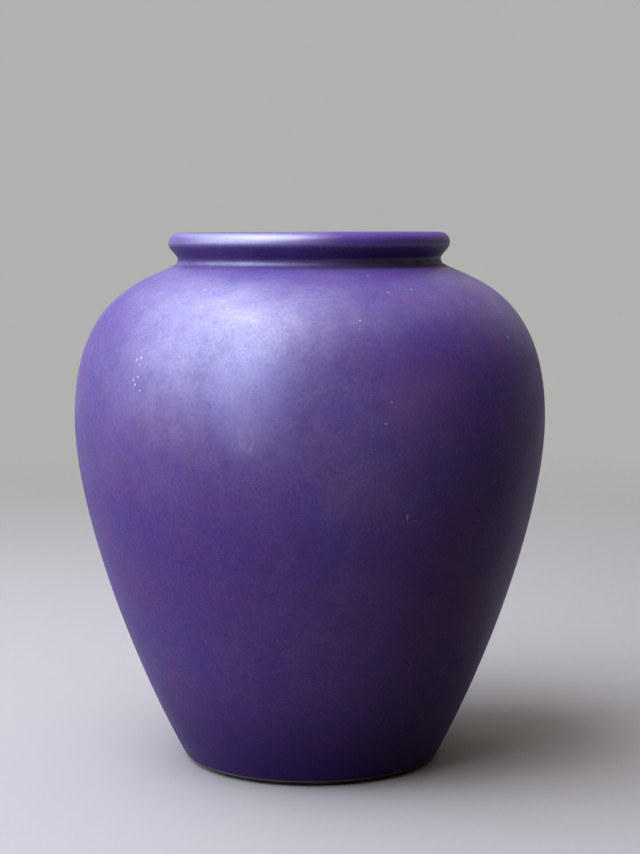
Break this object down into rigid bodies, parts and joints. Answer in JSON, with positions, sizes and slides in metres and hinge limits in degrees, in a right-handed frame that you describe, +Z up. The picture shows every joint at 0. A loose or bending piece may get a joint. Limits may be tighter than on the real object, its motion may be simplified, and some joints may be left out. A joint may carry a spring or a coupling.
{
  "type": "vase",
  "caption": "High-shouldered flower vase with a rolled lip, a short grooved neck and a turned foot: a clay body under a purple satin glaze that stops just above the foot",
  "frame": {"origin": "Centre of the ring that the foot stands on, in the plane that it stands on", "axes": "+Z points up along the axis that the vase is turned about. +Y points away from the camera that took the picture and +X to its right; the form is the same all the way round."},
  "size_m": [0.204, 0.204, 0.23],
  "materials": {
    "bare_clay": "matte",
    "purple_glaze": "satin"
  },
  "bodies": {
    "root": {"clay_body": "bare_clay", "outer_glaze": "purple_glaze", "foot_glaze": "purple_glaze"}
  },
  "joints": []
}
